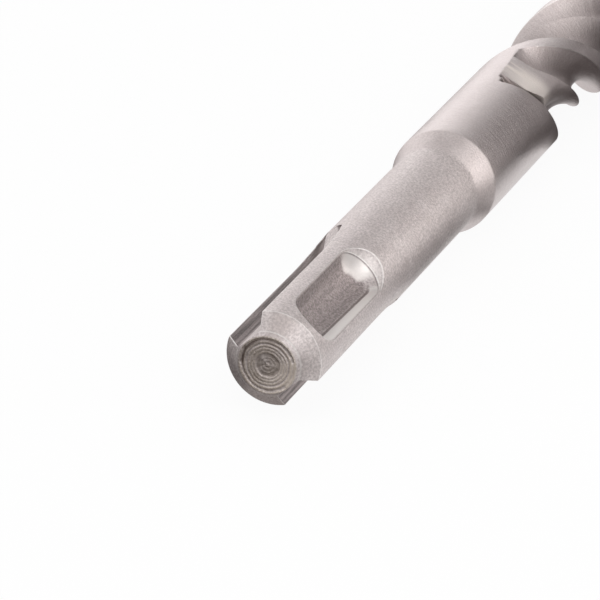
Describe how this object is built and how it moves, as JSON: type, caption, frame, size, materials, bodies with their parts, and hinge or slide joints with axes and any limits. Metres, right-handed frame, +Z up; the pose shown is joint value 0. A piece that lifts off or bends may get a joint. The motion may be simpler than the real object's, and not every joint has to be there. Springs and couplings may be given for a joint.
{
  "type": "hammer drill bit",
  "caption": "Masonry hammer drill bit with a slotted shank, conical shoulder, twisted flutes with run-out on the neck, and a brazed hard tip plate, lying on its side.",
  "frame": {"origin": "on the floor under the middle of the bit's length", "axes": "+X along the bit from the shank's end face to the tip, +Z up"},
  "size_m": [0.16, 0.0118, 0.0118],
  "materials": {
    "blasted_steel": "fine blasted, satin",
    "hard_metal": "ground, dark grey"
  },
  "bodies": {
    "root": {"steel_body": "blasted_steel", "carbide_plate": "hard_metal"}
  },
  "joints": []
}
